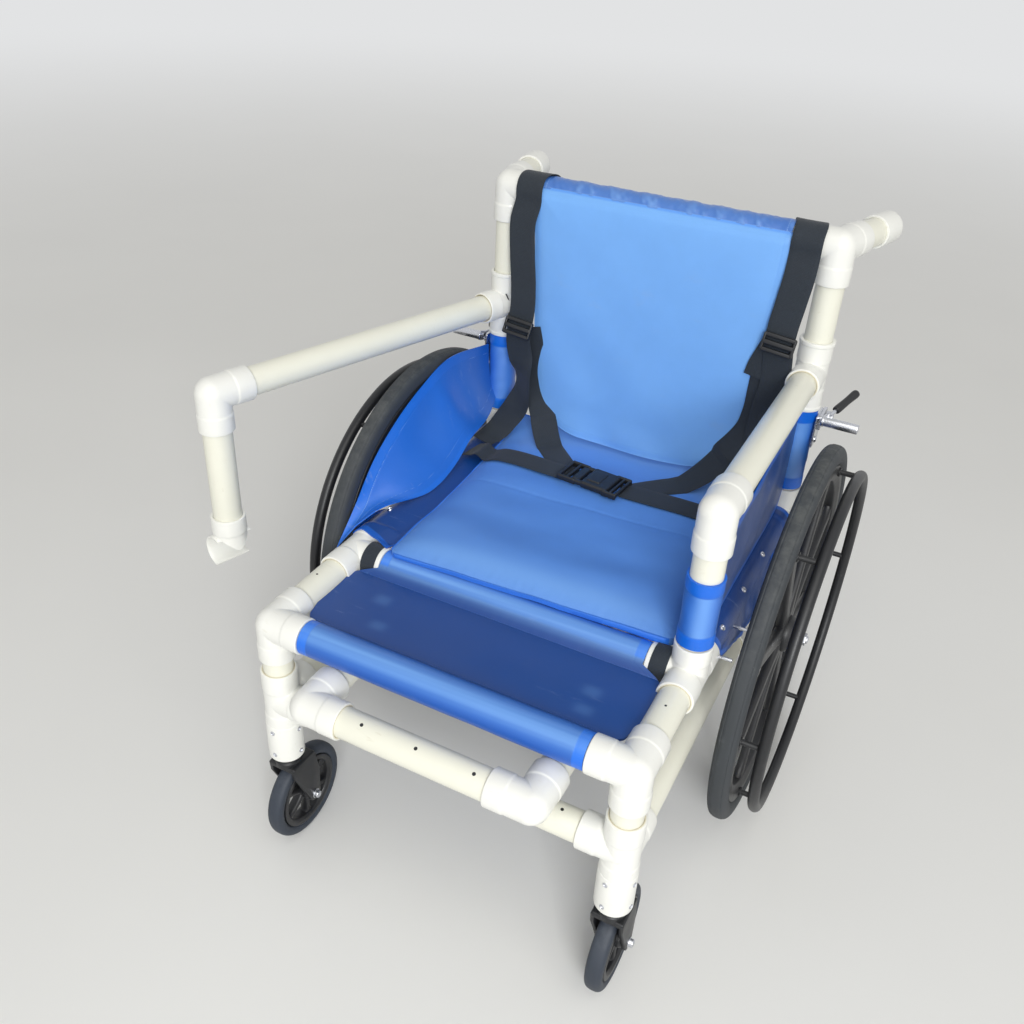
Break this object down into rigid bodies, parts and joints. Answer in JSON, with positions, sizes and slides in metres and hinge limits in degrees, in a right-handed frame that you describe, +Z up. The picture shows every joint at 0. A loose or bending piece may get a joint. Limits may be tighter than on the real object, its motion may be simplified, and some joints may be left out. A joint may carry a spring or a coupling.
{
  "type": "pool wheelchair",
  "caption": "White plastic pipe pool wheelchair with blue mesh seat, large rear wheels, front casters, a swing-away arm and a sliding footrest.",
  "frame": {"origin": "middle of the whole part's footprint, on the floor", "axes": "+Z up, -Y to the chair's front, +X to the sitter's left side; right in a node's name is +X"},
  "size_m": [0.847, 0.89, 0.8993],
  "materials": {
    "white_pipe": "smooth cream white plastic pipe",
    "blue_mesh": "coated blue mesh cloth",
    "black_webbing": "woven black webbing",
    "black_plastic": "moulded black plastic",
    "tyre_rubber": "grey-black solid tyre",
    "caster_rubber": "smooth grey-black caster tread",
    "steel": "bright stainless steel"
  },
  "bodies": {
    "frame": {"arm_right": "white_pipe", "arm_right_tee": "white_pipe", "axle_bolt_left": "steel", "axle_bolt_right": "steel", "back_panel": "blue_mesh", "buckle": "black_plastic", "corner_left": "white_pipe", "corner_right": "white_pipe", "crossbar_band_left": "black_webbing", "crossbar_band_right": "black_webbing", "front_crossbar": "white_pipe", "handle_left": "white_pipe", "handle_right": "white_pipe", "lap_belt_left": "black_webbing", "lap_belt_right": "black_webbing", "leg_left": "white_pipe", "leg_panel": "blue_mesh", "leg_right": "white_pipe", "lock_clamp_left": "steel", "lock_clamp_right": "steel", "lower_crossbar": "white_pipe", "lower_rail_left": "white_pipe", "lower_rail_right": "white_pipe", "mid_crossbar": "white_pipe", "rear_crossbar": "white_pipe", "seat_crossbar": "white_pipe", "seat_cushion": "blue_mesh", "seat_rail_left": "white_pipe", "seat_rail_right": "white_pipe", "seat_sling": "blue_mesh", "shoulder_strap_left": "black_webbing", "shoulder_strap_right": "black_webbing", "side_panel_left": "blue_mesh", "side_panel_right": "blue_mesh", "strap_adjuster_left": "black_plastic", "strap_adjuster_right": "black_plastic", "top_crossbar": "white_pipe", "upright_left": "white_pipe", "upright_right": "white_pipe"},
    "wheel_left": {"rear_rim_left": "black_plastic", "rear_tyre_left": "tyre_rubber", "handrim_left": "black_plastic"},
    "caster_left": {"caster_fork_left": "black_plastic"},
    "caster_roller_left": {"caster_wheel_left": "black_plastic", "caster_tyre_left": "caster_rubber"},
    "lock_left": {"lock_lever_left": "steel", "lock_grip_left": "black_plastic"},
    "wheel_right": {"rear_rim_right": "black_plastic", "rear_tyre_right": "tyre_rubber", "handrim_right": "black_plastic"},
    "caster_right": {"caster_fork_right": "black_plastic"},
    "caster_roller_right": {"caster_wheel_right": "black_plastic", "caster_tyre_right": "caster_rubber"},
    "lock_right": {"lock_lever_right": "steel", "lock_grip_right": "black_plastic"},
    "swing_arm": {"swing_tee": "white_pipe", "swing_arm": "white_pipe", "swing_clip": "white_pipe"},
    "footrest": {"footrest_bow": "white_pipe"}
  },
  "joints": [
    {"name": "wheel_left_spin", "type": "hinge", "parent": "frame", "child": "wheel_left", "pos_m": [-0.2859, 0.14, 0.305], "axis": [1, 0, 0], "continuous": true},
    {"name": "caster_left_swivel", "type": "hinge", "parent": "frame", "child": "caster_left", "pos_m": [-0.2199, -0.358, 0.1812], "axis": [0, 0, 1], "continuous": true},
    {"name": "caster_left_roll", "type": "hinge", "parent": "caster_left", "child": "caster_roller_left", "pos_m": [-0.2199, -0.33, 0.0762], "axis": [1, 0, 0], "continuous": true},
    {"name": "lock_left_turn", "type": "hinge", "parent": "frame", "child": "lock_left", "pos_m": [-0.2544, 0.314, 0.6], "axis": [1, 0, 0], "range_deg": [0, 32.5]},
    {"name": "wheel_right_spin", "type": "hinge", "parent": "frame", "child": "wheel_right", "pos_m": [0.3701, 0.14, 0.305], "axis": [1, 0, 0], "continuous": true},
    {"name": "caster_right_swivel", "type": "hinge", "parent": "frame", "child": "caster_right", "pos_m": [0.3041, -0.358, 0.1812], "axis": [0, 0, 1], "continuous": true},
    {"name": "caster_right_roll", "type": "hinge", "parent": "caster_right", "child": "caster_roller_right", "pos_m": [0.3041, -0.33, 0.0762], "axis": [1, 0, 0], "continuous": true},
    {"name": "lock_right_turn", "type": "hinge", "parent": "frame", "child": "lock_right", "pos_m": [0.3386, 0.314, 0.6], "axis": [1, 0, 0], "range_deg": [0, 32.5]},
    {"name": "swing_arm_turn", "type": "hinge", "parent": "frame", "child": "swing_arm", "pos_m": [-0.2199, 0.292, 0.676], "axis": [0, 0, 1], "range_deg": [-72, 17.7]},
    {"name": "footrest_slide", "type": "slide", "parent": "frame", "child": "footrest", "axis": [0, -1, 0], "range_m": [0, 0.155]}
  ]
}
